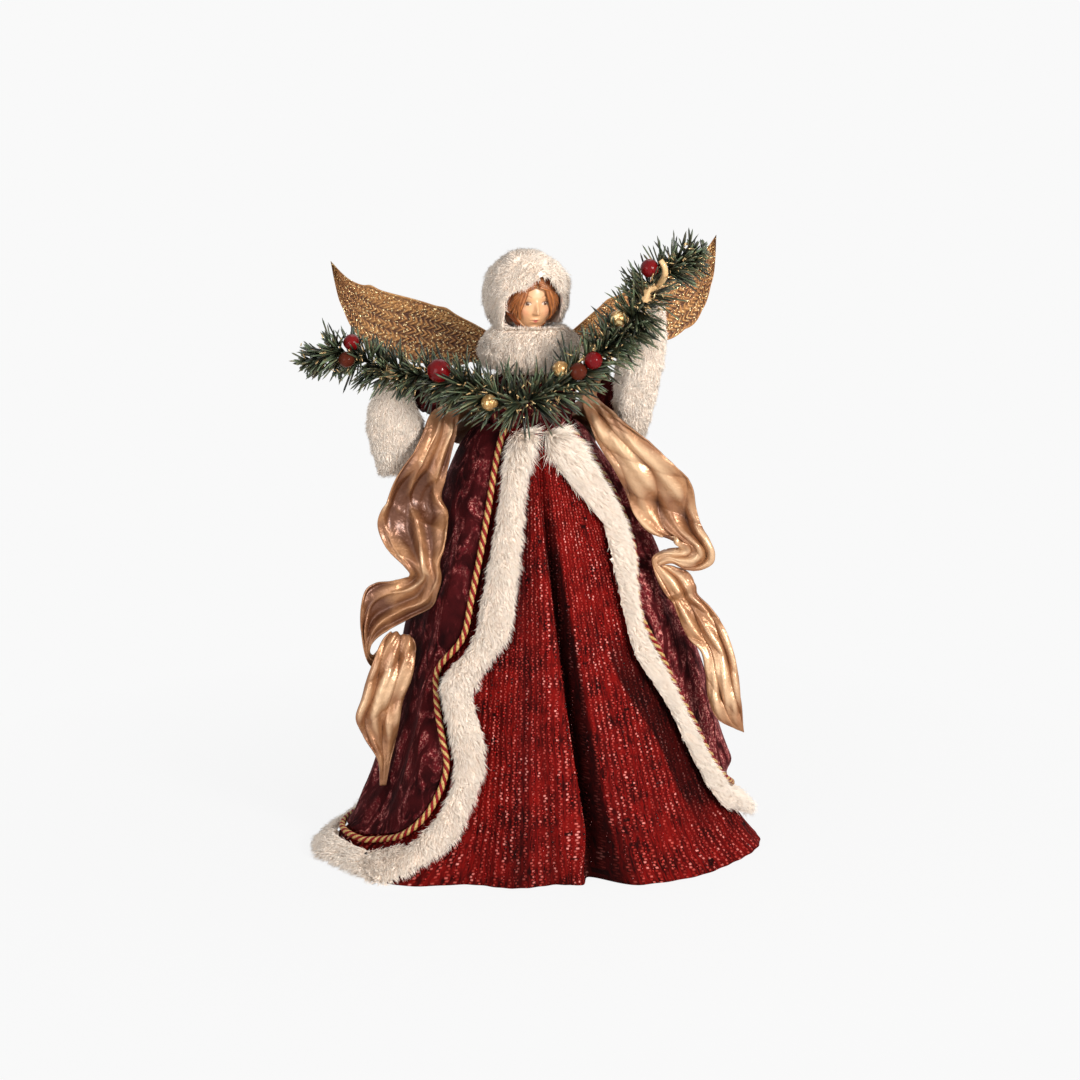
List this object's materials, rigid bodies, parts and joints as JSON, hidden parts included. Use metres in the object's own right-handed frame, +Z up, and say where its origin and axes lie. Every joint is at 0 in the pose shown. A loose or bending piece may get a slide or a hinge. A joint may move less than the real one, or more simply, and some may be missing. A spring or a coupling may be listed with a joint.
{
  "type": "angel tree topper",
  "caption": "Standing robed angel on a hollow cone for the top of a tree, with a turning head, folding moulded wings, fur-edged velvet robe, gold stole and a berry garland.",
  "frame": {"origin": "on the axis of the hollow cone, in the plane of its foot ring", "axes": "+Z up along the cone, -Y the way the figure faces, +X towards its left hand"},
  "size_m": [0.3048, 0.2445, 0.4116],
  "materials": {
    "card": "bare pale board, open inside",
    "padding": "pale stuffed cloth, hidden by the bodice",
    "velvet": "dark burgundy crushed velvet with a pinkish sheen on its folds",
    "sequin_cloth": "bright red cloth with vertical rows of small glinting sequins",
    "lame": "bronze gold satin with sharp highlights",
    "fur": "cream short-pile plush",
    "cord": "two-colour twisted cord, red and pale gold",
    "dowel": "plain turned dowel",
    "wire": "bare soft wire",
    "resin": "painted resin, flesh tone, with auburn moulded hair",
    "gilt": "moulded plastic in glittering antique gold",
    "pine": "dark and mid green plastic needles",
    "berry_red": "glossy deep red",
    "berry_brown": "glossy red-brown",
    "berry_gold": "crackled matt gold"
  },
  "bodies": {
    "figure": {"tree_cone": "card", "torso": "padding", "bodice": "velvet", "robe": "velvet", "sleeve_left": "velvet", "sleeve_right": "velvet", "underskirt": "sequin_cloth", "stole_left": "lame", "stole_right": "lame", "stole_back": "lame", "fur_band_right": "fur", "fur_band_left": "fur", "fur_band_hem": "fur", "fur_cuff_left": "fur", "fur_cuff_right": "fur", "fur_collar": "fur", "seam_cord": "cord", "neck_post": "dowel", "arm_wire_left": "wire", "arm_wire_right": "wire", "hand_left": "resin", "hand_right": "resin", "wing_bracket": "gilt", "garland_sprig_1": "pine", "garland_sprig_2": "pine", "garland_sprig_3": "pine", "garland_sprig_4": "pine", "berry_red_1": "berry_red", "berry_red_2": "berry_red", "berry_red_3": "berry_red", "berry_red_4": "berry_red", "berry_brown_1": "berry_brown", "berry_brown_2": "berry_brown", "berry_gold_1": "berry_gold", "berry_gold_2": "berry_gold", "berry_gold_3": "berry_gold"},
    "head": {"head": "resin", "fur_hat": "fur"},
    "left_wing": {"wing_left": "gilt"},
    "right_wing": {"wing_right": "gilt"}
  },
  "joints": [
    {"name": "head_turn", "type": "hinge", "parent": "figure", "child": "head", "pos_m": [0, 0, 0.338], "axis": [0, 0, 1], "range_deg": [-35, 35]},
    {"name": "left_wing_fold", "type": "hinge", "parent": "figure", "child": "left_wing", "pos_m": [0.016, 0.036, 0.313], "axis": [0, 0, 1], "range_deg": [-12, 40]},
    {"name": "right_wing_fold", "type": "hinge", "parent": "figure", "child": "right_wing", "pos_m": [-0.016, 0.036, 0.313], "axis": [0, 0, -1], "range_deg": [-12, 40]}
  ]
}
